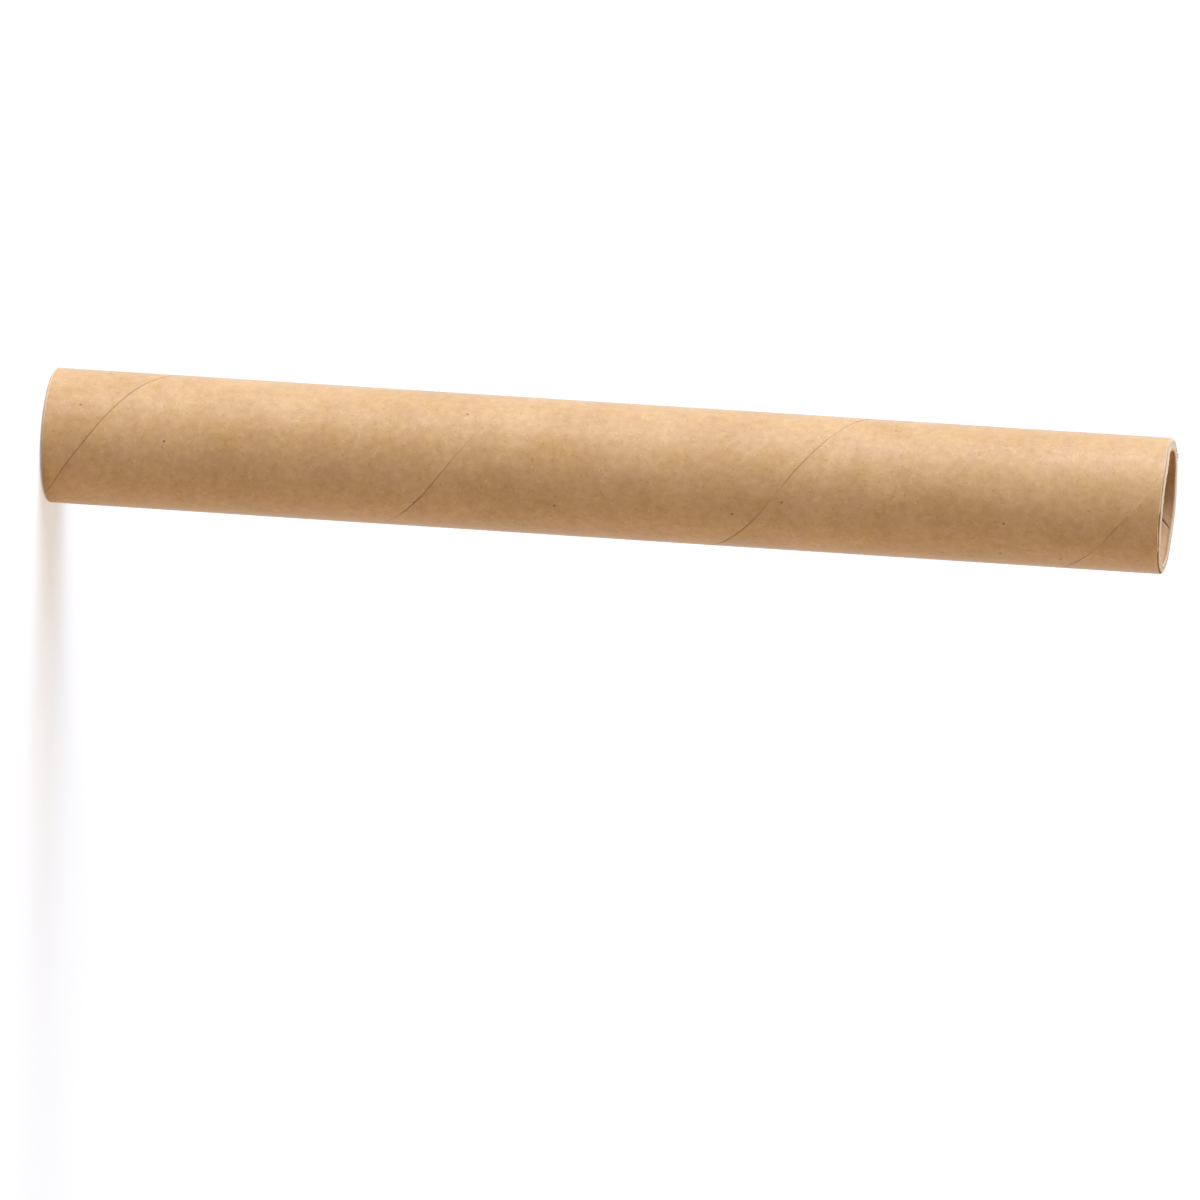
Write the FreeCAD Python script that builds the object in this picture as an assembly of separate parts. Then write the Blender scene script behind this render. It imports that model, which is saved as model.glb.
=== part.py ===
"""Spirally wound cardboard mailing tube, open at both ends.

The tube stands on its bottom cut end: Z runs along the bore and z = 0 is the surface it stands on.
Strips of board are wound on a mandrel and glued, so the tube is one piece. What stays visible of
the winding is the butt seam of the outermost ply, the butt seam of the innermost ply in the bore,
and the outer ply parting from the core at the top cut end.
"""
import FreeCAD, Part
import math
import os

# Size of the tube, in millimetres
bore_diameter = 50.8
wall = 3.8
tube_length = 485.0

# Winding: every ply advances by the same lead for each turn, and the helix is left-handed
winding_lead = 150.5
outer_ply = 0.4
inner_ply = 0.4
seam_gap = 0.25
seam_mouth = 0.7

# Heights at which the two seams first cross the front of the tube, its -Y side
outer_seam_height = 23.2
inner_seam_height = 96.8

# Cut ends: the outer corner is crushed round, the inner one is only broken
outer_rounding = 1.4
inner_break = 0.35

# Parting of the outer ply at the top end, as a slit over part of the circle
parting_gap = 0.45
parting_depth = 2.0
parting_start = -86.0
parting_sweep = 100.0

# How far a cutting tool stands past the surface that it cuts
overshoot = 1.0

bore_radius = bore_diameter / 2
outer_radius = bore_radius + wall
up = FreeCAD.Vector(0, 0, 1)
ground = FreeCAD.Vector(0, 0, 0)


def section_point(radius, height):
    """A point of the wall's section, drawn in the XZ plane."""
    return FreeCAD.Vector(radius, 0, height)


def outer_corner(end_height, inward):
    """Quarter circle that rounds the outer corner at one end; inward is +1 at the bottom."""
    centre = section_point(outer_radius - outer_rounding, end_height + inward * outer_rounding)
    diagonal = outer_rounding * math.sqrt(0.5)
    on_end = section_point(centre.x, end_height)
    middle = section_point(centre.x + diagonal, centre.z - inward * diagonal)
    on_side = section_point(outer_radius, centre.z)
    return on_end, middle, on_side


def wall_section():
    """Closed section of the wall, with both cut ends."""
    bottom_end, bottom_middle, bottom_side = outer_corner(0, 1)
    top_end, top_middle, top_side = outer_corner(tube_length, -1)
    bore_end_radius = bore_radius + inner_break
    inner = [
        top_end,
        section_point(bore_end_radius, tube_length),
        section_point(bore_radius, tube_length - inner_break),
        section_point(bore_radius, inner_break),
        section_point(bore_end_radius, 0),
        bottom_end,
    ]
    edges = [
        Part.Arc(bottom_end, bottom_middle, bottom_side).toShape(),
        Part.makeLine(bottom_side, top_side),
        Part.Arc(top_side, top_middle, top_end).toShape(),
    ]
    edges += [Part.makeLine(start, end) for start, end in zip(inner, inner[1:])]
    return Part.Face(Part.Wire(edges))


def seam_profile(surface_radius, outward, depth):
    """Section of a butt seam: a gap one ply deep whose sides flare out past the surface."""
    rise = math.atan2(winding_lead, 2 * math.pi * surface_radius)
    flare = (seam_mouth - seam_gap) / 2 / depth
    half_floor = seam_gap / 2 / math.cos(rise)
    half_clear = (seam_mouth / 2 + flare * overshoot) / math.cos(rise)
    floor_radius = surface_radius - outward * depth
    clear_radius = surface_radius + outward * overshoot
    corners = [
        section_point(floor_radius, -half_floor),
        section_point(clear_radius, -half_clear),
        section_point(clear_radius, half_clear),
        section_point(floor_radius, half_floor),
    ]
    return Part.makePolygon(corners + corners[:1])


def seam_cutter(surface_radius, outward, depth, front_height):
    """Left-handed helical cutter that runs out through both ends of the tube."""
    run_out = winding_lead / 4
    length = tube_length + 2 * run_out
    path = Part.makeLongHelix(winding_lead, length, surface_radius, 0, True)
    profile = seam_profile(surface_radius, outward, depth)
    cutter = Part.Wire(path.Edges).makePipeShell([profile], True, True)
    cutter.translate(FreeCAD.Vector(0, 0, -run_out))
    front = -90.0
    turned_by_front = 360.0 * (front_height + run_out) / winding_lead
    cutter.rotate(ground, up, front + turned_by_front)
    return cutter


def ply_parting():
    """Thin curved slit between the outer ply and the core, open at the top cut end."""
    slit_outer = outer_radius - outer_ply
    height = parting_depth + overshoot
    base = FreeCAD.Vector(0, 0, tube_length - parting_depth)
    outside = Part.makeCylinder(slit_outer, height, base, up, parting_sweep)
    inside = Part.makeCylinder(slit_outer - parting_gap, height, base, up, parting_sweep)
    slit = outside.cut(inside)
    slit.rotate(ground, up, parting_start)
    return slit


def mailing_tube():
    """The whole tube: the revolved wall with its seams and the parted ply cut out."""
    tube = wall_section().revolve(ground, up, 360)
    tube = tube.cut(seam_cutter(outer_radius, 1, outer_ply, outer_seam_height))
    tube = tube.cut(seam_cutter(bore_radius, -1, inner_ply, inner_seam_height))
    return tube.cut(ply_parting())


def export(node, shape):
    """Write one solid to its own STEP file and print what it is."""
    solid = shape.Solids[0]
    print(node, "solids", len(shape.Solids), "valid", shape.isValid(),
          "volume_cm3", round(shape.Volume / 1000, 2), "box", shape.BoundBox)
    solid.exportStep(f"parts/{node}.step")


os.makedirs("parts", exist_ok=True)
export("tube", mailing_tube())
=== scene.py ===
"""Looks of the spirally wound cardboard mailing tube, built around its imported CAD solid.

The tube's mesh is one closed grid of rings. Its columns follow the winding, so that the butt
seams of the outermost and innermost plies are real grooves that run along the grid.

Lengths are in metres. Angles round the tube are counted from +X towards +Y, so its front is at
-90 degrees. They are in radians, except in the tables that say degrees.
"""
import math
from collections import namedtuple

import bpy
import numpy as np
from mathutils import Matrix, Vector

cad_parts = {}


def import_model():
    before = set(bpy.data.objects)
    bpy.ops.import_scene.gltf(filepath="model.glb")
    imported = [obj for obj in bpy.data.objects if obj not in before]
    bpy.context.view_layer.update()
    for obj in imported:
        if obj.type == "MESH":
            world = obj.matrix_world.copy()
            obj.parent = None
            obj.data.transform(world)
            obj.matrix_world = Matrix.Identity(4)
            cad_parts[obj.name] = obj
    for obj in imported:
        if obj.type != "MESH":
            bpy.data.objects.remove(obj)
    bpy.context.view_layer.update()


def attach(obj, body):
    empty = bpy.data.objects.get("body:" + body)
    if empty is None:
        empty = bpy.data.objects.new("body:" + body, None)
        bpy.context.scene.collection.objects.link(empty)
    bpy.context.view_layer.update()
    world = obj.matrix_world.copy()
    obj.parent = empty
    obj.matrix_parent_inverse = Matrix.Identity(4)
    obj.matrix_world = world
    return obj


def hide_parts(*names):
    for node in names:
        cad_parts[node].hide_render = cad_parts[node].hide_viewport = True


# Size of the tube, as in the CAD source
BORE = 0.0254
OUTER = 0.0292
LENGTH = 0.485
LEAD = 0.1505
PLY = 0.0004
SEAM_FRONT = 0.0232
INNER_SEAM_FRONT = 0.0968
CORNER = 0.0014

# The front of the tube, and how far round from the outer seam the inner one lies at every height
FULL_TURN = 2 * math.pi
FRONT = -math.pi / 2
INNER_SEAM_AT = FULL_TURN * (INNER_SEAM_FRONT - SEAM_FRONT) / LEAD

# How much longer a distance is round the tube than square to a seam
ACROSS_TO_AROUND = math.hypot(LEAD, FULL_TURN * OUTER) / LEAD

# Grid: columns round the tube, rows along both sides of the wall and across a cut face
COLUMNS = 270
OUTER_ROWS = 170
INNER_ROWS = 60
FACE_ROWS = 11

# Distances from the middle of a seam, square to it, of its own columns: on the groove's floor, on its flank
# and two on the lip. The even columns keep clear of them by an angle
SEAM_STEPS = (0.00010, 0.00024, 0.00042, 0.0009)
SEAM_CLEAR = 0.062
INNER_SEAM_CLEAR = 0.07

# Rows of the bore: a few close ones, by their distance below the top end, and even ones from there down
BORE_NEAR_TOP = (0.0036, 0.0042, 0.0052, 0.0070)
BORE_EVEN_FROM = 0.010
BORE_EVEN_TO = 0.002

# How far the wound seam strays up or down from an even helix: (height, drift), and a fine unevenness of it
SEAM_DRIFT = (
    (0.000, 0.0028),
    (0.003, 0.0020),
    (0.011, -0.0010),
    (0.022, -0.0024),
    (0.029, -0.0035),
    (0.037, -0.0043),
    (0.050, -0.0048),
    (0.100, 0.0),
    (0.150, 0.0060),
    (0.164, 0.0066),
    (0.175, 0.0059),
    (0.186, 0.0048),
    (0.200, 0.0020),
    (0.250, 0.0),
    (0.300, 0.0004),
    (0.313, 0.0002),
    (0.326, -0.0010),
    (0.336, -0.0022),
    (0.346, -0.0032),
    (0.356, -0.0052),
    (0.400, 0.0),
    (0.450, -0.0006),
    (0.462, -0.0003),
    (0.485, 0.0010),
)
SEAM_STRAY = 0.00018

# How open the outer seam is along the tube, 1 for the full gap: (height, opening)
SEAM_OPENING = (
    (0.000, 0.6),
    (0.020, 0.6),
    (0.032, 0.7),
    (0.042, 1.0),
    (0.060, 0.8),
    (0.100, 0.5),
    (0.145, 0.05),
    (0.153, 0.3),
    (0.160, 0.7),
    (0.172, 0.75),
    (0.182, 0.35),
    (0.192, 0.1),
    (0.220, 0.3),
    (0.270, 0.6),
    (0.300, 0.7),
    (0.310, 0.7),
    (0.318, 0.2),
    (0.324, 0.6),
    (0.331, 0.4),
    (0.341, 0.8),
    (0.352, 0.9),
    (0.390, 0.6),
    (0.440, 0.4),
    (0.449, 0.7),
    (0.456, 0.1),
    (0.463, 0.6),
    (0.470, 0.1),
    (0.485, 0.1),
)

# A seam's groove: half the width of its floor and of its mouth, and how much width and depth vary along it
GROOVE_FLOOR = 0.00011
GROOVE_MOUTH = 0.0003
WIDTH_VARIES = 0.35
DEPTH_VARIES = 0.25

# The lip, the ply's raised edge beside the outer seam: where it starts and has died out, and how much
# of its height the seam's lower side has
LIP_RISE = 0.00004
LIP_VARIES = 0.45
LIP_FROM = 0.0003
LIP_TO = 0.0012
LOWER_LIP = 0.35

# Relief of the outer surface, which stays inside the CAD's, and of the bore
SURFACE_DROP = 0.00003
DENT = 0.000025
WAVE = 0.0000125
BORE_WAVE = 0.00003

# The top end is cut askew and a little wavy: (angle in degrees, drop below the full length)
TOP_DROP = (
    (-180, 0.00050),
    (-165, 0.00085),
    (-153, 0.00095),
    (-134, 0.00065),
    (-126, 0.00058),
    (-117, 0.00075),
    (-99, 0.00105),
    (-82, 0.00125),
    (-65, 0.00157),
    (-54, 0.00162),
    (-34, 0.00205),
    (-10, 0.00195),
    (10, 0.00180),
    (33, 0.00151),
    (65, 0.00125),
    (90, 0.00071),
    (117, 0.00055),
    (144, 0.00040),
    (180, 0.00050),
)

# Over this length below the top end the wall's rows turn askew too. Both ends are a little wavy, and the
# front of the top one slopes up to the bore
ASKEW_OVER = 0.03
TOP_WAVE = 0.00003
FOOT_WAVE = 0.00004
END_SLOPE = 0.00045

# Places round the ends: (value, angle in degrees, width in degrees). The value fades out on both sides.
# Lengths: how far the top's back slopes down to the bore, how far the innermost ply bulges into the top of
# the bore, and how much the bottom is cut short at the front
BACK_BEVEL = ((0.0003, 125, 45),)
BULGE = ((0.0013, 180, 35), (0.0005, 178, 18))
CUT_SHORT = ((0.00035, -55, 40),)

# Shares: where the parted ply is still held, and where painted shade darkens the rim, cut face and bore edge
# of the top
PLY_HELD = ((0.8, -49, 2.6),)
RIM_SHADE = ((0.8, -104, 22), (0.7, -150, 30))
FACE_SHADE = ((0.8, 48, 34),)
EDGE_SHADE = ((0.8, 35, 45),)

# How much of the bulge reaches the bore's wall, and over what length below the top end it dies out
SPRUNG_SHARE = 0.8
SPRUNG_OVER = 0.0025

# Parting of the outer ply from the core at the top end: between which angles, and over what angle it opens
# and closes again
PARTING_FROM = math.radians(-88)
PARTING_TO = math.radians(14)
PARTING_OPENS = 0.15
PARTING_CLOSES = 0.2
PARTING_VARIES = 0.2
PARTING_GAP = 0.00045
PARTING_DEPTH = 0.002
PLY_SUNK = 0.0006

# The fine crack that leads up to the parting, and the hairline that is left where the ply still holds
CRACK_FROM = math.radians(-172)
CRACK_OPENS = 1.1
CRACK_SHARE = 0.35
HAIRLINE_GAP = 0.00001
HAIRLINE_DEPTH = 0.00003

# Rings on the rounded corners. At the top: (share of the turn to the outer ply's end, material), then shares
# of the core's turn to the cut face. At the bottom: (turn in degrees, material)
TOP_PLY_RINGS = ((0.2, "edge"), (0.4, "face"), (0.6, "face"), (0.8, "face"))
TOP_CORE_RINGS = (0.0, 0.35, 0.7, 1.0)
FOOT_RINGS = ((90, "face"), (72, "face"), (54, "edge"), (36, "edge"), (18, "edge"))

# Cut faces: how far they stop short of the bore, the lines between the plies, and how rough they are
FACE_INSET = 0.0003
LINE_DEPTH = 0.0001
LINE_STRAY = 0.00004
FACE_ROUGH = 0.00005

# The bore's edge at a cut end, whose fibres the knife has pushed in: (distance outside the bore, share of
# the push, share of the depth)
EDGE_RINGS = ((0.0003, 0.0, 0.0), (0.0001, 0.5, 0.05), (0.0, 1.0, 0.3), (0.0, 0.55, 0.65), (0.0, 0.1, 1.0))
EDGE_PUSH = 0.00022
EDGE_PUSH_VARIES = 0.3
EDGE_DEPTH = 0.0008
EDGE_RAGGED = 0.00006

# Loose fibres on the top cut end: their steps, how much they taper, bow and rise for their length, how deep
# they are rooted and how far below the tube's full length they stay
FIBRE_STEPS = 5
FIBRE_TAPER = 0.8
FIBRE_BOW = 0.3
FIBRE_RISE = (0.2, 1.0)
FIBRE_ROOT = 0.0003
FIBRE_CLEARANCE = 0.00012

# The tuft at the back: its fibres, its angle and spread in degrees, its distance outside the bore, and how
# far its tips reach along X and Y for their length
TUFT = 12
TUFT_ANGLE = 141
TUFT_SPREAD = 4
TUFT_PLACE = 0.0031
TUFT_LENGTHS = (0.0015, 0.0055)
TUFT_REACH_X = (-0.5, 0.4)
TUFT_REACH_Y = 0.9
TUFT_THICKNESS = 0.00015

# The stray fibres all round: their number, the distances outside the bore that they grow at, and how far
# their tips reach inward and along the rim for their length
STRAYS = 110
STRAY_PLACES = (0.0, 0.0020, 0.0024)
STRAY_LENGTHS = (0.0003, 0.0008)
STRAY_INWARD = (-0.3, 0.8)
STRAY_ALONG = (-0.9, 0.9)
STRAY_THICKNESS = 0.00003

# The picture camera, fitted to the tube in the photograph
LENS = 347.63
SENSOR = 36.0
DISTANCE = 4.964
TILT = math.radians(7.957)
ROLL = math.radians(3.747)
TARGET = Vector((0.055653, 0.0, 0.242580))

# Light: a soft key and a rim lamp, both cool, from the tube's -X side, a warm fill and an even, warm world
KEY_FROM = Vector((-0.906, -0.423, 0.30))
KEY_STRENGTH = 3.72
KEY_COLOUR = (0.70, 0.81, 1.0)
RIM_FROM = Vector((-0.996, -0.087, 0.30))
RIM_STRENGTH = 2.75
RIM_COLOUR = (0.50, 0.68, 1.0)
FILL_FROM = Vector((0.985, 0.174, 0.30))
FILL_STRENGTH = 0.98
FILL_COLOUR = (1.0, 0.77, 0.35)
LAMP_SPREAD = math.radians(40)
WORLD_STRENGTH = 0.415
WORLD_COLOUR = (1.0, 0.88, 0.80, 1.0)

# The floor: half its width, its grey, and the light that it gives off where it is seen directly
FLOOR_HALF = 30.0
FLOOR_GREY = 0.80
FLOOR_LIFT = 0.36

# Colours of the board: its face, the crushed corners, paler partly as a painted highlight, the cut faces,
# the slit's walls and the bore
KRAFT = (0.508, 0.282, 0.112)
CRUSHED_KRAFT_AND_HIGHLIGHT = (0.60, 0.39, 0.21)
CUT_KRAFT = (0.83, 0.61, 0.385)
# The slit's walls: the face's kraft darkened for the torn crack and as painted shade in it. The loose fibres
# get this colour too
SLIT_KRAFT = tuple(0.7 * part for part in KRAFT)
BORE_KRAFT = (0.52, 0.29, 0.13)

# Finish of the bare board: a broad weak gloss, the pale bloom of loose fibres at grazing angles, and its
# fine tooth
GLOSS = 0.3
BLOOM = 0.1
BLOOM_SPREAD = 0.5
TOOTH = 0.00004
TOOTH_STRENGTH = 0.6

# Shades of the board: red, green and blue of one step paler, how many steps they reach either way, the least
# that is left of a colour, and two casts of hue
PALER = (1.0, 0.73, 0.49)
CONTRAST = 0.093
DARKEST = 0.002
PINK_CAST = (1.0, 0.995, 1.04)
YELLOW_CAST = (1.0, 1.005, 0.96)

# Mottling: (scale per millimetre, detail, roughness, share)
MOTTLING = (
    (0.016, 1.0, 0.5, 0.5),
    (0.07, 2.0, 0.6, 0.6),
    (0.28, 2.0, 0.6, 0.52),
    (0.9, 1.0, 0.5, 0.12),
)

# How much single fibres and dots lighten or darken the board, and the share of their half width that shows
# in full before it fades out
LIGHT_FIBRES = 0.30
LIGHT_DOTS = 0.20
DARK_FIBRES = 0.32
DARK_DOTS = 0.27
FIBRE_CORE = 0.35
DOT_CORE = 0.4

# Sparse dark spots: what is left of each colour in them, and how strongly they show
SPOT = (0.3, 0.3, 0.3)
SPOT_STRENGTH = 0.75

# Painted shade, in the seams' grooves and at some places of the top end: what is left of each colour in
# full shade, how strong that is, and how dark each seam gets. The outer seam's shade is wider than its
# groove: distances count less in it
SHADOW = (0.32, 0.24, 0.16)
SHADOW_STRENGTH = 0.7
SEAM_SHADE = 0.7
INNER_SEAM_SHADE = 0.8
SHADE_DISTANCE = 0.65


def smooth_through(knots, place):
    """Value at a place of a smooth curve through (place, value) knots."""
    places, values = np.array(knots).T
    slopes = np.gradient(values, places)
    place = np.clip(place, places[0], places[-1])
    step = np.clip(np.searchsorted(places, place) - 1, 0, len(places) - 2)
    span = places[step + 1] - places[step]
    share = (place - places[step]) / span
    eased = share * share * (3 - 2 * share)
    leaving = share * (1 - share) ** 2 * span * slopes[step]
    arriving = share * share * (1 - share) * span * slopes[step + 1]
    return values[step] + (values[step + 1] - values[step]) * eased + leaving - arriving


def turned(angle):
    """The same angle between minus and plus half a turn."""
    return (np.asarray(angle) + math.pi) % FULL_TURN - math.pi


def ease(low, high, value):
    """0 below low, 1 above high, and smooth between."""
    share = np.clip((value - low) / (high - low), 0, 1)
    return share * share * (3 - 2 * share)


def near(angle, middle, width):
    """1 at an angle of the tube and less on both sides of it; middle and width in degrees."""
    return np.exp(-(np.degrees(turned(angle - math.radians(middle))) / width) ** 2)


def at_places(places, angle):
    """Sum at an angle of the values of some places round the tube."""
    return sum(value * near(angle, middle, width) for value, middle, width in places)


def ripple(seed, around, along, count=24):
    """A smooth random relief as a function of angle and height, about -1 to 1."""
    random = np.random.default_rng(seed)
    turns = random.integers(-around, around + 1, count)
    climbs = random.uniform(-1, 1, count) * FULL_TURN / along
    phases = random.uniform(0, FULL_TURN, count)

    def relief(angle, height):
        total = 0
        for turn, climb, phase in zip(turns, climbs, phases):
            total = total + np.cos(turn * angle + climb * height + phase)
        return total / math.sqrt(2 * count)

    return relief


# Reliefs, each from its seed, its largest number of waves round the tube and its shortest wave along it
dents = ripple(3, 3, 0.12)
waves = ripple(5, 9, 0.03)
seam_width = ripple(7, 0, 0.012)
seam_depth = ripple(8, 0, 0.02)
lip_height = ripple(9, 0, 0.015)
seam_stray = ripple(14, 0, 0.008)
rim_wave = ripple(11, 7, 1.0)
rim_fuzz = ripple(12, 60, 0.001, 50)
parting_wave = ripple(13, 14, 1.0)


def seam_angle(height):
    """Angle at which the outer seam crosses a height. The helix is left-handed."""
    height = np.asarray(height, dtype=float)
    drift = smooth_through(SEAM_DRIFT, height) + SEAM_STRAY * seam_stray(0, height)
    return FRONT - FULL_TURN * (height - drift - SEAM_FRONT) / LEAD


def column_angles():
    """Angles of the grid's columns from the outer seam, closer together at both seams."""
    steps = np.array([side * step for step in SEAM_STEPS for side in (-1, 1)])
    at_outer = steps * ACROSS_TO_AROUND / OUTER
    at_inner = INNER_SEAM_AT + steps * ACROSS_TO_AROUND / BORE
    even = np.arange(COLUMNS) * FULL_TURN / COLUMNS
    clear_outer = np.abs(turned(even)) > SEAM_CLEAR
    clear_inner = np.abs(turned(even - INNER_SEAM_AT)) > INNER_SEAM_CLEAR
    kept = even[clear_outer & clear_inner]
    return np.sort(np.concatenate([kept, at_outer % FULL_TURN, at_inner % FULL_TURN]))


def across(column, radius):
    """Distance of a column from the outer seam, square to the seam."""
    return turned(column) * radius / ACROSS_TO_AROUND


def groove(distance, height, depth, opening=1.0):
    """Depth of a seam's groove below the surface at a distance from its middle."""
    width = 1 + WIDTH_VARIES * seam_width(0, height)
    share = 1 - ease(GROOVE_FLOOR * width, GROOVE_MOUTH * width, np.abs(distance))
    return depth * opening * share * (1 + DEPTH_VARIES * seam_depth(0, height))


def lip(distance, height):
    """Rise of the ply's edge beside the seam, higher on its upper side."""
    rise = LIP_RISE * (1 - LIP_VARIES + LIP_VARIES * lip_height(0, height))
    fade = 1 - ease(LIP_FROM, LIP_TO, np.abs(distance))
    side = np.where(distance > 0, 1.0, LOWER_LIP)
    return rise * fade * side


def outer_radius_at(column, angle, height):
    """Radius of the outer surface with its dents, waves, seam lips and seam groove."""
    distance = across(column, OUTER)
    radius = OUTER - SURFACE_DROP - DENT * (1 + dents(angle, height))
    radius = radius - WAVE * (1 + waves(angle, height))
    radius = radius + lip(distance, height)
    radius = np.minimum(radius, OUTER)
    return radius - groove(distance, height, PLY, smooth_through(SEAM_OPENING, height))


def top_drop(angle):
    """How far the top end lies below the tube's full length."""
    return smooth_through(TOP_DROP, np.degrees(turned(angle))) + TOP_WAVE * rim_wave(angle, 0)


def foot_drop(angle):
    """How far the bottom end's rim lies above the floor: it's cut a little short at the front."""
    return FOOT_WAVE * (1 + rim_wave(angle, 0)) + at_places(CUT_SHORT, angle)


# A cut end: its height, the way from there into the tube (+1 up, -1 down), how far it is cut short at an
# angle, and 1 for the top end, the only one that is sloped, shaded and sprung into the bore
End = namedtuple("End", "height inward drop at_top")
TOP = End(LENGTH, -1, top_drop, 1)
FOOT = End(0.0, 1, foot_drop, 0)


class Rings:
    """Collects the rings of the closed grid, in order from the bottom corner round the wall."""

    def __init__(self, column):
        self.column = column
        self.points = []
        self.maps = []
        self.shades = []
        self.bands = []

    def add(self, band, angle, radius, height, map_x, map_y, shade=0.0):
        """One ring of points and its place on the paper; band is the material of what follows it.

        A point's painted shade is 0 on unshaded board and up to 1 in a seam's groove or a shaded place of the
        top end.
        """
        count = len(self.column)
        self.shades.append(np.broadcast_to(shade, count))
        radius = np.broadcast_to(radius, count)
        height = np.broadcast_to(height, count)
        self.points.append(np.column_stack([radius * np.cos(angle), radius * np.sin(angle), height]))
        self.maps.append(np.column_stack([np.broadcast_to(map_x, count), np.broadcast_to(map_y, count)]))
        self.bands.append(band)


def at_front(angle):
    """1 at the front of the tube, its -Y side, and 0 at its back."""
    return 0.5 - 0.5 * np.sin(angle)


def end_relief(angle, share):
    """Drop of the top cut face at a share of the way from its outer edge to the bore."""
    return END_SLOPE * at_front(angle) * (1 - share) + at_places(BACK_BEVEL, angle) * share ** 2


def parting(angle):
    """1 where the outer ply has parted from the core at the top end, 0 where it still holds."""
    place = turned(angle)
    opened = ease(PARTING_FROM, PARTING_FROM + PARTING_OPENS, place)
    crack = CRACK_SHARE * ease(CRACK_FROM, CRACK_FROM + CRACK_OPENS, place)
    closed_again = ease(PARTING_TO - PARTING_CLOSES, PARTING_TO, place)
    held = at_places(PLY_HELD, angle)
    uneven = 1 - PARTING_VARIES + PARTING_VARIES * parting_wave(angle, 0)
    return np.maximum(opened, crack) * (1 - closed_again) * (1 - held) * uneven


def wall_rows(rings):
    """The outer surface between its two rounded corners."""
    distance = across(rings.column, OUTER)
    for height in np.linspace(CORNER, LENGTH - CORNER, OUTER_ROWS):
        angle = seam_angle(height) + rings.column
        radius = outer_radius_at(rings.column, angle, height)
        askew = top_drop(angle) * ease(LENGTH - ASKEW_OVER, LENGTH, height)
        opening = smooth_through(SEAM_OPENING, height)
        # Painted shade in the seam's groove, spread wider than the groove itself
        shade = groove(SHADE_DISTANCE * distance, height, SEAM_SHADE, opening)
        rings.add("outer", angle, radius, height - askew, angle * OUTER, height, shade)


def corner_ring(rings, end, band, turn, in_by=0.0, down_by=0.0, shade=0.0):
    """A ring on a rounded outer corner; turn is 0 on the side and a quarter turn on the end face."""
    middle = OUTER - CORNER
    seam_height = end.height + end.inward * CORNER
    angle = seam_angle(seam_height) + rings.column
    side = outer_radius_at(rings.column, angle, seam_height)
    radius = middle + (side - middle) * np.cos(turn) - in_by
    slope = end_relief(angle, 0.0) * np.sin(turn) * end.at_top
    drop = CORNER * (1 - np.sin(turn)) + slope + end.drop(angle) + down_by
    on_paper = seam_height - end.inward * CORNER * turn
    rings.add(band, angle, radius, end.height + end.inward * drop, angle * OUTER, on_paper, shade)


def corner_turn(inside):
    """Turn at which a rounded corner has come inside the outer surface by a distance."""
    return np.arccos(np.clip(1 - inside / CORNER, 0, 1))


def top_corner(rings):
    """The rounded top corner with the parted outer ply: its edge, the slit and the core's corner."""
    angle = seam_angle(LENGTH - CORNER) + rings.column
    # Painted shade on the top rim's outer edge, along the crack and at the corner that faces the key light
    rim = at_places(RIM_SHADE, angle)
    opened = parting(angle)
    depth = PARTING_DEPTH * opened + HAIRLINE_DEPTH
    gap = PARTING_GAP * opened + HAIRLINE_GAP
    sunk = PLY_SUNK * opened
    ply_end = corner_turn(PLY)
    core_start = corner_turn(PLY + gap)
    for share, band in TOP_PLY_RINGS:
        shade = rim if band == "face" else 0.0
        corner_ring(rings, TOP, band, ply_end * share, down_by=sunk * share, shade=shade)
    corner_ring(rings, TOP, "slit", ply_end, down_by=sunk)
    corner_ring(rings, TOP, "slit", ply_end, down_by=depth)
    corner_ring(rings, TOP, "slit", ply_end, in_by=gap, down_by=depth)
    for share in TOP_CORE_RINGS:
        turn = core_start + (math.pi / 2 - core_start) * share
        corner_ring(rings, TOP, "face", turn, shade=rim * (1 - share))


def end_face(rings, end):
    """The cut face: the ends of the plies as low ridges between thin lines."""
    outside = OUTER - CORNER
    inside = BORE + FACE_INSET
    shares = np.linspace(0, 1, FACE_ROWS + 2)[1:-1]
    if not end.at_top:
        shares = shares[::-1]
    angle = seam_angle(end.height + end.inward * CORNER) + rings.column
    # Painted shade darkens part of the top cut face
    shade = at_places(FACE_SHADE, angle) * end.at_top
    for number, share in enumerate(shares):
        radius = outside + (inside - outside) * share + LINE_STRAY * rim_fuzz(angle, share)
        line = LINE_DEPTH * (number % 2)
        rough = FACE_ROUGH * (1 + rim_fuzz(angle + number, 0))
        slope = end_relief(angle, share) * end.at_top
        height = end.height + end.inward * (end.drop(angle) + slope + line + rough)
        rings.add("face", angle, radius, height, angle * radius, radius, shade)


def bore_edge(rings, end):
    """The bore's edge at one end: a ragged lip of fibres that stands a little into the bore."""
    angle = seam_angle(end.height + end.inward * CORNER) + rings.column
    # Two heights of the fuzz give two different patterns
    ragged = EDGE_RAGGED * (1 + rim_fuzz(angle, 0.4))
    push = EDGE_PUSH * (1 - EDGE_PUSH_VARIES + EDGE_PUSH_VARIES * rim_fuzz(angle, 0.7))
    push = push + at_places(BULGE, angle) * end.at_top
    bevel = end_relief(angle, 1.0) * end.at_top
    # Painted shade on the top's bore edge where it faces the fill light
    shade = at_places(EDGE_SHADE, angle) * end.at_top
    steps = EDGE_RINGS if end.at_top else EDGE_RINGS[::-1]
    for outward, share, depth in steps:
        drop = end.drop(angle) + bevel + EDGE_DEPTH * depth + ragged * (1 - depth)
        band = "bore" if end.at_top and depth == 1.0 else "face"
        radius = BORE + outward - push * share
        on_paper = end.height + end.inward * EDGE_DEPTH * depth
        rings.add(band, angle, radius, end.height + end.inward * drop, angle * BORE, on_paper, shade)


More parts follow.
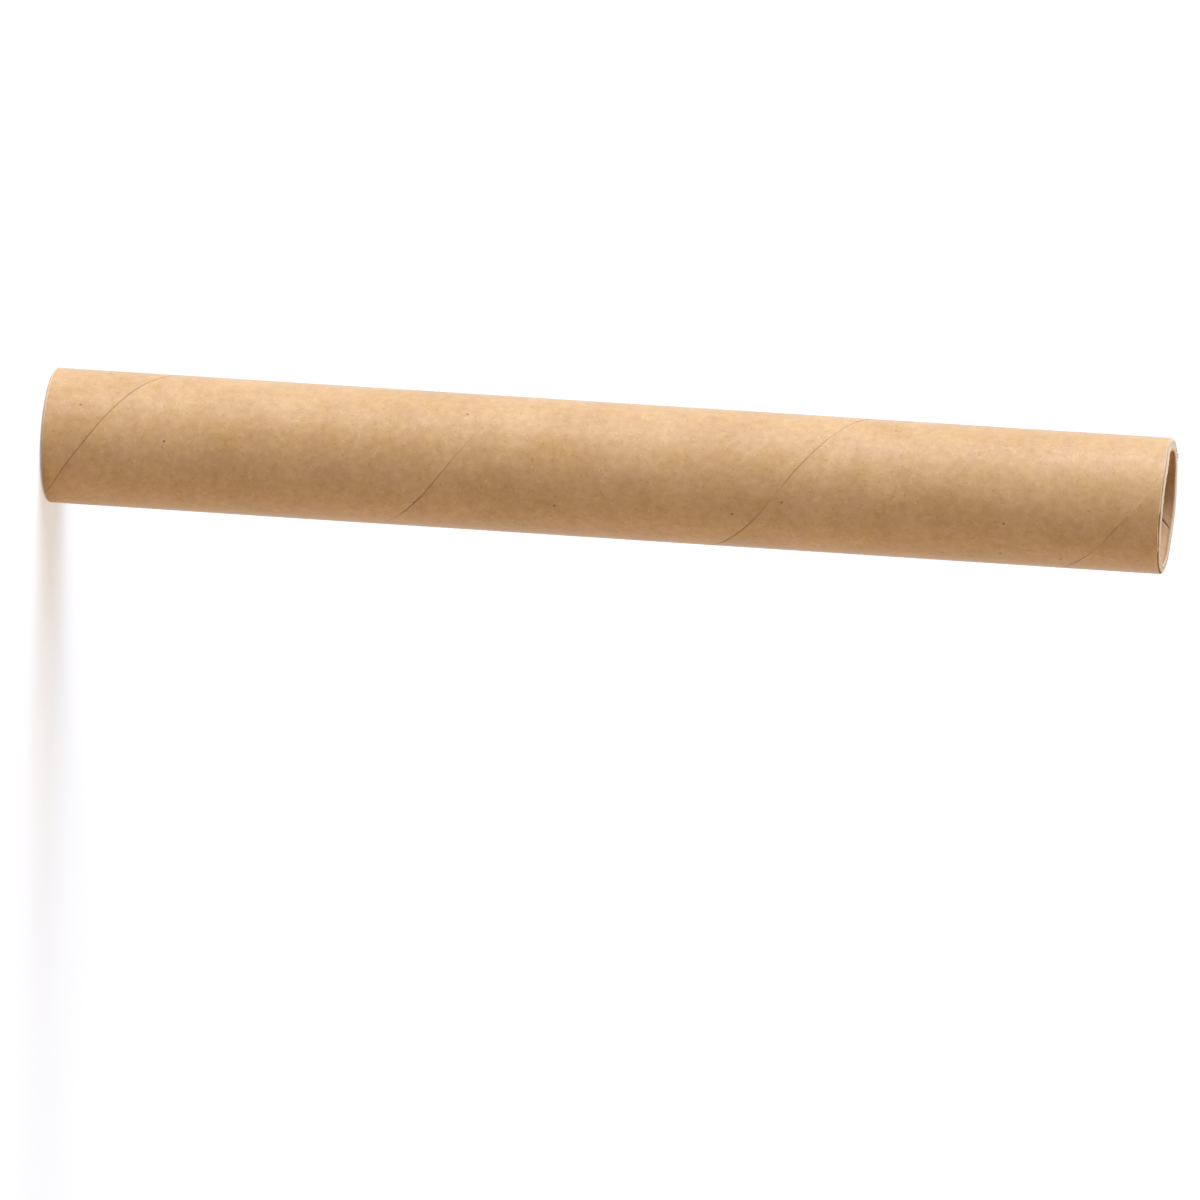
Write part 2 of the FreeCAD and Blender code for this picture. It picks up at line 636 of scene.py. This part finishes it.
def bore_rows(rings):
    """The inner surface, from the top down, with the butt seam of the innermost ply."""
    near_top = LENGTH - np.array(BORE_NEAR_TOP)
    even = np.linspace(LENGTH - BORE_EVEN_FROM, BORE_EVEN_TO, INNER_ROWS)
    distance = across(rings.column - INNER_SEAM_AT, BORE)
    for height in np.concatenate([near_top, even]):
        angle = seam_angle(height) + rings.column
        sprung = SPRUNG_SHARE * math.exp(-(LENGTH - height) / SPRUNG_OVER)
        radius = BORE + groove(distance, height, PLY) + BORE_WAVE * (1 + waves(angle, height))
        radius = radius - at_places(BULGE, angle) * sprung
        # Painted shade in the inner seam's groove
        shade = groove(distance, height, INNER_SEAM_SHADE)
        rings.add("bore", angle, radius, height, angle * BORE, height, shade)


def build_rings():
    """Every ring of the tube, up the outside, over the top, down the bore and across the bottom."""
    rings = Rings(column_angles())
    wall_rows(rings)
    top_corner(rings)
    end_face(rings, TOP)
    bore_edge(rings, TOP)
    bore_rows(rings)
    bore_edge(rings, FOOT)
    end_face(rings, FOOT)
    for turn, band in FOOT_RINGS:
        corner_ring(rings, FOOT, band, math.radians(turn))
    return rings


def fibre_points(root, tip, bow, thickness):
    """Points of one thin bent fibre: triangles of points that shrink towards its tip."""
    points = []
    for share in np.linspace(0, 1, FIBRE_STEPS):
        middle = root + (tip - root) * share + bow * (4 * share * (1 - share))
        for turn in (0, FULL_TURN / 3, FULL_TURN * 2 / 3):
            reach = thickness * (1 - FIBRE_TAPER * share)
            points.append(middle + reach * np.array([math.cos(turn), math.sin(turn), 0.0]))
    return points


def fibre_faces(first):
    """Faces of one closed fibre whose points start at a number."""
    faces = []
    for low in range(first, first + 3 * (FIBRE_STEPS - 1), 3):
        for corner in range(3):
            after = (corner + 1) % 3
            faces.append((low + corner, low + after, low + 3 + after, low + 3 + corner))
    last = first + 3 * (FIBRE_STEPS - 1)
    faces.append((first + 2, first + 1, first))
    faces.append((last, last + 1, last + 2))
    return faces


def loose_fibre(random, in_tuft):
    """One loose fibre on the top cut end, in the tuft or anywhere round the end."""
    if in_tuft:
        angle = math.radians(random.normal(TUFT_ANGLE, TUFT_SPREAD))
        length = random.uniform(*TUFT_LENGTHS)
        place = TUFT_PLACE
    else:
        angle = math.radians(random.uniform(0, 360))
        length = random.uniform(*STRAY_LENGTHS)
        place = random.choice(STRAY_PLACES)
    outward = np.array([math.cos(angle), math.sin(angle), 0.0])
    along = np.array([-math.sin(angle), math.cos(angle), 0.0])
    share = 1 - place / (OUTER - BORE)
    height = LENGTH - top_drop(angle) - end_relief(angle, share) - FIBRE_ROOT
    root = outward * (BORE + place) + np.array([0, 0, height])
    # The tuft draws these two as well, which keeps the order of the draws, and then reaches its own way
    inward_by = random.uniform(*STRAY_INWARD)
    along_by = random.uniform(*STRAY_ALONG)
    tip = root + length * (along * along_by - outward * inward_by)
    if in_tuft:
        tip = root + length * np.array([random.uniform(*TUFT_REACH_X), TUFT_REACH_Y, 0])
    tip[2] = min(height + length * random.uniform(*FIBRE_RISE), LENGTH - FIBRE_CLEARANCE)
    bow = FIBRE_BOW * length * random.uniform(-1, 1) * along
    return fibre_points(root, tip, bow, TUFT_THICKNESS if in_tuft else STRAY_THICKNESS)


def loose_fibres(first):
    """Points and faces of all the loose fibres, whose points start at a number: the tuft's come first."""
    random = np.random.default_rng(21)
    points = []
    faces = []
    for number in range(TUFT + STRAYS):
        faces += fibre_faces(first + len(points))
        points += loose_fibre(random, number < TUFT)
    return points, faces


def grid_faces(rows, count):
    """Corner numbers of every quad of the closed grid, with the row and column of each corner."""
    row, side = np.meshgrid(np.arange(rows), np.arange(count), indexing="ij")
    next_row = (row + 1) % rows
    next_side = (side + 1) % count
    corners = [(row, side), (row, next_side), (next_row, next_side), (next_row, side)]
    faces = np.stack([r * count + s for r, s in corners], axis=-1).reshape(-1, 4)
    return faces, corners, side == count - 1


def paper_map(rings, corners, wrapped):
    """Place on the paper of each corner of the grid's quads; those that wrap round end a full turn on."""
    paper = np.stack([np.stack(rings.maps)[r, s] for r, s in corners], axis=2)
    paper[:, :, 1:3, 0] += np.where(wrapped[..., None], FULL_TURN * OUTER, 0)
    return paper.ravel()


def tube_mesh(name, rings, materials):
    """The closed grid of the rings and the loose fibres, with the paper's map and each point's shade."""
    count = len(rings.column)
    names = list(materials)
    faces, corners, wrapped = grid_faces(len(rings.points), count)
    points = np.concatenate(rings.points)
    bands = np.repeat([names.index(band) for band in rings.bands], count)
    loose_points, loose = loose_fibres(len(points))
    loose_bands = np.full(len(loose), names.index("slit"))
    loose_corners = sum(len(face) for face in loose)

    mesh = bpy.data.meshes.new(name)
    mesh.from_pydata(np.concatenate([points, loose_points]).tolist(), [], faces.tolist() + loose)
    mesh.polygons.foreach_set("use_smooth", np.ones(len(mesh.polygons), dtype=bool))
    mesh.polygons.foreach_set("material_index", np.concatenate([bands, loose_bands]))
    for material in materials.values():
        mesh.materials.append(material)
    paper = np.concatenate([paper_map(rings, corners, wrapped), np.zeros(loose_corners * 2)])
    mesh.uv_layers.new(name="paper").data.foreach_set("uv", paper)
    shades = np.concatenate(rings.shades + [np.zeros(len(loose_points))])
    mesh.attributes.new("shade", "FLOAT", "POINT").data.foreach_set("value", shades)
    mesh.update()
    return mesh


class Nodes:
    """Short calls for building a material's node tree."""

    def __init__(self, name):
        self.material = bpy.data.materials.new(name)
        self.material.use_nodes = True
        self.tree = self.material.node_tree
        self.shader = self.tree.nodes["Principled BSDF"]

    def add(self, kind, **settings):
        """A new shader node with its settings."""
        node = self.tree.nodes.new("ShaderNode" + kind)
        for key, value in settings.items():
            setattr(node, key, value)
        return node

    def put(self, socket, value):
        """Link another node's output to a socket, or set the socket's value."""
        if isinstance(value, bpy.types.NodeSocket):
            self.tree.links.new(value, socket)
        else:
            socket.default_value = value

    def math(self, operation, first, second=0.0, clamp=False):
        """The result of an operation on one or two numbers; clamp keeps it between 0 and 1."""
        node = self.add("Math", operation=operation, use_clamp=clamp)
        self.put(node.inputs[0], first)
        self.put(node.inputs[1], second)
        return node.outputs[0]

    def step(self, value, low, high, at_low=0.0, at_high=1.0):
        """A smooth step where a value goes from low to high."""
        node = self.add("MapRange", interpolation_type="SMOOTHSTEP")
        for socket, number in zip(node.inputs, (value, low, high, at_low, at_high)):
            self.put(socket, number)
        return node.outputs[0]

    def mix(self, share, first, second):
        """The first colour, with a share of the second."""
        node = self.add("Mix", data_type="RGBA")
        self.put(node.inputs[0], share)
        self.put(node.inputs[6], first)
        self.put(node.inputs[7], second)
        return node.outputs[2]

    def noise(self, vector, scale, detail=2.0, rough=0.5):
        """Smooth noise as a number, and as a colour of three such numbers."""
        node = self.add("TexNoise", noise_dimensions="2D")
        self.put(node.inputs["Vector"], vector)
        self.put(node.inputs["Scale"], scale)
        self.put(node.inputs["Detail"], detail)
        self.put(node.inputs["Roughness"], rough)
        return node.outputs["Fac"], node.outputs["Color"]

    def cells(self, vector, scale=1.0):
        """Distance from the middle of the nearest cell, and the cell's random colour."""
        node = self.add("TexVoronoi", voronoi_dimensions="2D")
        self.put(node.inputs["Vector"], vector)
        self.put(node.inputs["Scale"], scale)
        return node.outputs["Distance"], node.outputs["Color"]

    def red(self, colour):
        """The red channel of a colour, as a random number for each cell."""
        node = self.add("SeparateColor")
        self.put(node.inputs[0], colour)
        return node.outputs[0]

    def shade(self):
        """How much painted shade darkens the point, 0 to 1."""
        return self.add("Attribute", attribute_name="shade").outputs["Fac"]

    def vector(self, operation, first, second):
        """The result of an operation on two vectors."""
        node = self.add("VectorMath", operation=operation)
        self.put(node.inputs[0], first)
        self.put(node.inputs[1], second)
        return node.outputs[0]

    def scaled(self, vector, factor):
        """A vector times a number."""
        node = self.add("VectorMath", operation="SCALE")
        self.put(node.inputs[0], vector)
        self.put(node.inputs["Scale"], factor)
        return node.outputs[0]

    def paper(self):
        """The paper's own coordinates, in millimetres."""
        return self.scaled(self.add("UVMap", uv_map="paper").outputs[0], 1000.0)

    def moved(self, vector, turn, stretch, shift):
        """The coordinates shifted, turned and then divided by a stretch along and across."""
        rotated = self.add("VectorRotate", rotation_type="Z_AXIS")
        self.put(rotated.inputs["Vector"], self.vector("ADD", vector, shift))
        self.put(rotated.inputs["Angle"], turn)
        return self.vector("MULTIPLY", rotated.outputs[0], (1 / stretch[0], 1 / stretch[1], 1.0))


def grey(value):
    """A neutral colour."""
    return (value, value, value, 1.0)


def filtered(colour, cast):
    """The colour with its red, green and blue each times a factor."""
    return tuple(part * factor for part, factor in zip(colour, cast)) + (1.0,)


def paler(colour, step):
    """The colour made lighter, or darker below 0, nearly evenly in red, green and blue, as fibres do it."""
    return tuple(max(part + step * share, DARKEST) for part, share in zip(colour, PALER)) + (1.0,)


def bent(nodes, place, amount, scale):
    """The coordinates bent a little, so that fibres aren't straight."""
    colour = nodes.noise(place, scale)[1]
    centred = nodes.vector("SUBTRACT", colour, (0.5, 0.5, 0.5))
    return nodes.vector("ADD", place, nodes.scaled(centred, amount))


def chosen_cells(nodes, colour, share):
    """1 in a share of the cells, by their random colours, and 0 in the others."""
    threshold = 1 - share
    return nodes.step(nodes.red(colour), threshold, threshold + 0.02)


def fibres(nodes, place, directions, cell, half_width, share, seed):
    """Short thin fibres lying in several uneven directions, 1 on a fibre and 0 off it."""
    total = 0.0
    for number in range(directions):
        uneven = 0.37 * math.sin(seed + 2.3 * number)
        turn = math.pi * (number + uneven) / directions
        shift = (17.3 * number + seed, 9.1 * number - seed, 0.0)
        distance, colour = nodes.cells(nodes.moved(place, turn, cell, shift))
        line = nodes.step(distance, half_width, half_width * FIBRE_CORE)
        chosen = chosen_cells(nodes, colour, share)
        total = nodes.math("MAXIMUM", total, nodes.math("MULTIPLY", line, chosen))
    return total


def specks(nodes, place, cell, size, share):
    """Sparse round specks, 1 in their middle; cell and size in millimetres."""
    distance, colour = nodes.cells(place, 1 / cell)
    dot = nodes.step(distance, size / cell, size * DOT_CORE / cell)
    return nodes.math("MULTIPLY", dot, chosen_cells(nodes, colour, share))


def mottling(nodes, place):
    """The board's uneven shade, about 0.5 in the mean, from wide clouds to single fibres."""
    total = 0.5
    for scale, detail, rough, share in MOTTLING:
        noise = nodes.noise(place, scale, detail, rough)[0]
        centred = nodes.math("SUBTRACT", noise, 0.5)
        total = nodes.math("ADD", total, nodes.math("MULTIPLY", centred, share))
    return total


def board_level(nodes, place, fuzz):
    """How pale the board is, 0 to 1: mottled, with light and dark fibres and dots."""
    curved = bent(nodes, place, amount=1.6, scale=0.3)
    light = fibres(nodes, curved, directions=5, cell=(6.0, 1.3), half_width=0.22, share=0.13, seed=1.0)
    dark = fibres(nodes, curved, directions=3, cell=(4.5, 1.7), half_width=0.22, share=0.12, seed=5.0)
    light_dots = specks(nodes, curved, cell=4.5, size=0.5, share=0.22)
    dark_dots = specks(nodes, place, cell=7.0, size=0.7, share=0.45)
    level = mottling(nodes, place)
    for found, strength in (
        (light, LIGHT_FIBRES * fuzz),
        (light_dots, LIGHT_DOTS),
        (dark, -DARK_FIBRES),
        (dark_dots, -DARK_DOTS),
    ):
        level = nodes.math("ADD", level, nodes.math("MULTIPLY", found, strength))
    return nodes.math("ADD", level, 0.0, clamp=True)


def board_colour(nodes, place, level, colour):
    """The board's colour at its level, with a slow change of hue, dark spots and painted shade in seams and
    at the top.
    """
    hue = nodes.step(nodes.noise(place, scale=0.09, rough=0.6)[0], 0.35, 0.65)
    pink = filtered(colour, PINK_CAST)
    yellow = filtered(colour, YELLOW_CAST)
    darker = nodes.mix(hue, paler(pink, -CONTRAST), paler(yellow, -CONTRAST))
    lighter = nodes.mix(hue, paler(pink, CONTRAST), paler(yellow, CONTRAST))
    base = nodes.mix(level, darker, lighter)
    spots = specks(nodes, place, cell=21.0, size=0.8, share=0.28)
    base = nodes.mix(nodes.math("MULTIPLY", spots, SPOT_STRENGTH), base, filtered(colour, SPOT))
    # Painted shade: the board goes toward the shadow colour by the point's shade
    shade = nodes.math("MULTIPLY", nodes.shade(), SHADOW_STRENGTH)
    return nodes.mix(shade, base, filtered(colour, SHADOW))


def board_material(name, colour, fuzz=1.0, tooth=TOOTH, roughness=0.42):
    """Uncoated kraft board: fuzz strengthens its light fibres, and tooth is the height of its fine relief."""
    nodes = Nodes(name)
    place = nodes.paper()
    level = board_level(nodes, place, fuzz)
    smoothest = roughness - 0.03
    roughest = roughness + 0.05
    shader = nodes.shader
    nodes.put(shader.inputs["Base Color"], board_colour(nodes, place, level, colour))
    nodes.put(shader.inputs["Roughness"], nodes.step(level, 0.2, 0.8, smoothest, roughest))
    nodes.put(shader.inputs["Specular IOR Level"], GLOSS)
    nodes.put(shader.inputs["Sheen Weight"], BLOOM)
    nodes.put(shader.inputs["Sheen Roughness"], BLOOM_SPREAD)
    bump = nodes.add("Bump")
    nodes.put(bump.inputs["Strength"], TOOTH_STRENGTH)
    nodes.put(bump.inputs["Distance"], tooth)
    nodes.put(bump.inputs["Height"], level)
    nodes.put(shader.inputs["Normal"], bump.outputs[0])
    return nodes.material


def mailing_tube():
    """The tube's mesh in place of its CAD node."""
    materials = {
        "outer": board_material("kraft_face", KRAFT),
        # The crushed corners are paler than the face partly as a painted highlight of the rounded edge
        "edge": board_material("kraft_crushed_edge_and_highlight", CRUSHED_KRAFT_AND_HIGHLIGHT, fuzz=1.4, tooth=0.00008, roughness=0.6),
        "face": board_material("kraft_cut_face", CUT_KRAFT, fuzz=1.4, tooth=0.0001, roughness=0.8),
        "slit": board_material("kraft_parting", SLIT_KRAFT, fuzz=0.6, tooth=0.0001, roughness=0.9),
        "bore": board_material("kraft_bore", BORE_KRAFT, roughness=0.7),
    }
    mesh = tube_mesh("mailing_tube", build_rings(), materials)
    tube = bpy.data.objects.new("mailing_tube", mesh)
    bpy.context.collection.objects.link(tube)
    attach(tube, "root")
    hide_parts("tube")


def shown_directly(tree):
    """1 for a ray from the camera, a reflection or a refraction, else 0."""
    path = tree.nodes.new("ShaderNodeLightPath")
    total = path.outputs["Is Camera Ray"]
    for name in ("Is Glossy Ray", "Is Transmission Ray"):
        either = tree.nodes.new("ShaderNodeMath")
        either.operation = "MAXIMUM"
        tree.links.new(total, either.inputs[0])
        tree.links.new(path.outputs[name], either.inputs[1])
        total = either.outputs[0]
    return total


def floor():
    """A pale floor that shows as white and keeps the tube's shadow."""
    mesh = bpy.data.meshes.new("floor")
    signs = ((-1, -1), (1, -1), (1, 1), (-1, 1))
    corners = [(x * FLOOR_HALF, y * FLOOR_HALF, 0) for x, y in signs]
    mesh.from_pydata(corners, [], [(0, 1, 2, 3)])
    plane = bpy.data.objects.new("floor", mesh)
    bpy.context.collection.objects.link(plane)
    material = bpy.data.materials.new("floor_white")
    material.use_nodes = True
    tree = material.node_tree
    shader = tree.nodes["Principled BSDF"]
    shader.inputs["Base Color"].default_value = grey(FLOOR_GREY)
    shader.inputs["Roughness"].default_value = 1.0
    shader.inputs["Specular IOR Level"].default_value = 0.0
    shader.inputs["Emission Color"].default_value = grey(1.0)
    lift = tree.nodes.new("ShaderNodeMath")
    lift.operation = "MULTIPLY"
    lift.inputs[1].default_value = FLOOR_LIFT
    tree.links.new(shown_directly(tree), lift.inputs[0])
    tree.links.new(lift.outputs[0], shader.inputs["Emission Strength"])
    mesh.materials.append(material)


def sun(name, toward, strength, colour):
    """A soft lamp so far off that it lights every side view alike."""
    light = bpy.data.lights.new(name, "SUN")
    light.energy = strength
    light.angle = LAMP_SPREAD
    light.color = colour
    lamp = bpy.data.objects.new(name, light)
    lamp.rotation_euler = toward.to_track_quat("Z", "Y").to_euler()
    bpy.context.collection.objects.link(lamp)


def world():
    """An even world that shows as white."""
    made = bpy.data.worlds.new("studio")
    made.use_nodes = True
    tree = made.node_tree
    background = tree.nodes["Background"]
    shown = shown_directly(tree)
    colour = tree.nodes.new("ShaderNodeMix")
    colour.data_type = "RGBA"
    colour.inputs[6].default_value = WORLD_COLOUR
    colour.inputs[7].default_value = grey(1.0)
    tree.links.new(shown, colour.inputs[0])
    tree.links.new(colour.outputs[2], background.inputs["Color"])
    level = tree.nodes.new("ShaderNodeMapRange")
    level.inputs["To Min"].default_value = WORLD_STRENGTH
    level.inputs["To Max"].default_value = 1.0
    tree.links.new(shown, level.inputs["Value"])
    tree.links.new(level.outputs[0], background.inputs["Strength"])
    bpy.context.scene.world = made


def camera():
    """The photograph's camera: it looks along +Y and a little down, turned so that +Z runs to the right."""
    forward = Vector((0, math.cos(TILT), -math.sin(TILT)))
    level_up = Vector((-1, 0, 0))
    level_right = forward.cross(level_up)
    right = level_right * math.cos(ROLL) + level_up * math.sin(ROLL)
    up = level_up * math.cos(ROLL) - level_right * math.sin(ROLL)
    data = bpy.data.cameras.new("photo_camera")
    data.lens = LENS
    data.sensor_width = SENSOR
    data.clip_start = 0.1
    data.clip_end = 100.0
    seer = bpy.data.objects.new("photo_camera", data)
    turn = Matrix((right, up, -forward)).transposed().to_4x4()
    seer.matrix_world = Matrix.Translation(TARGET - forward * DISTANCE) @ turn
    bpy.context.collection.objects.link(seer)
    bpy.context.scene.camera = seer


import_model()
bpy.context.scene.view_settings.view_transform = "Standard"
camera()
world()
sun("key", KEY_FROM, KEY_STRENGTH, KEY_COLOUR)
sun("rim", RIM_FROM, RIM_STRENGTH, RIM_COLOUR)
sun("fill", FILL_FROM, FILL_STRENGTH, FILL_COLOUR)
floor()
mailing_tube()
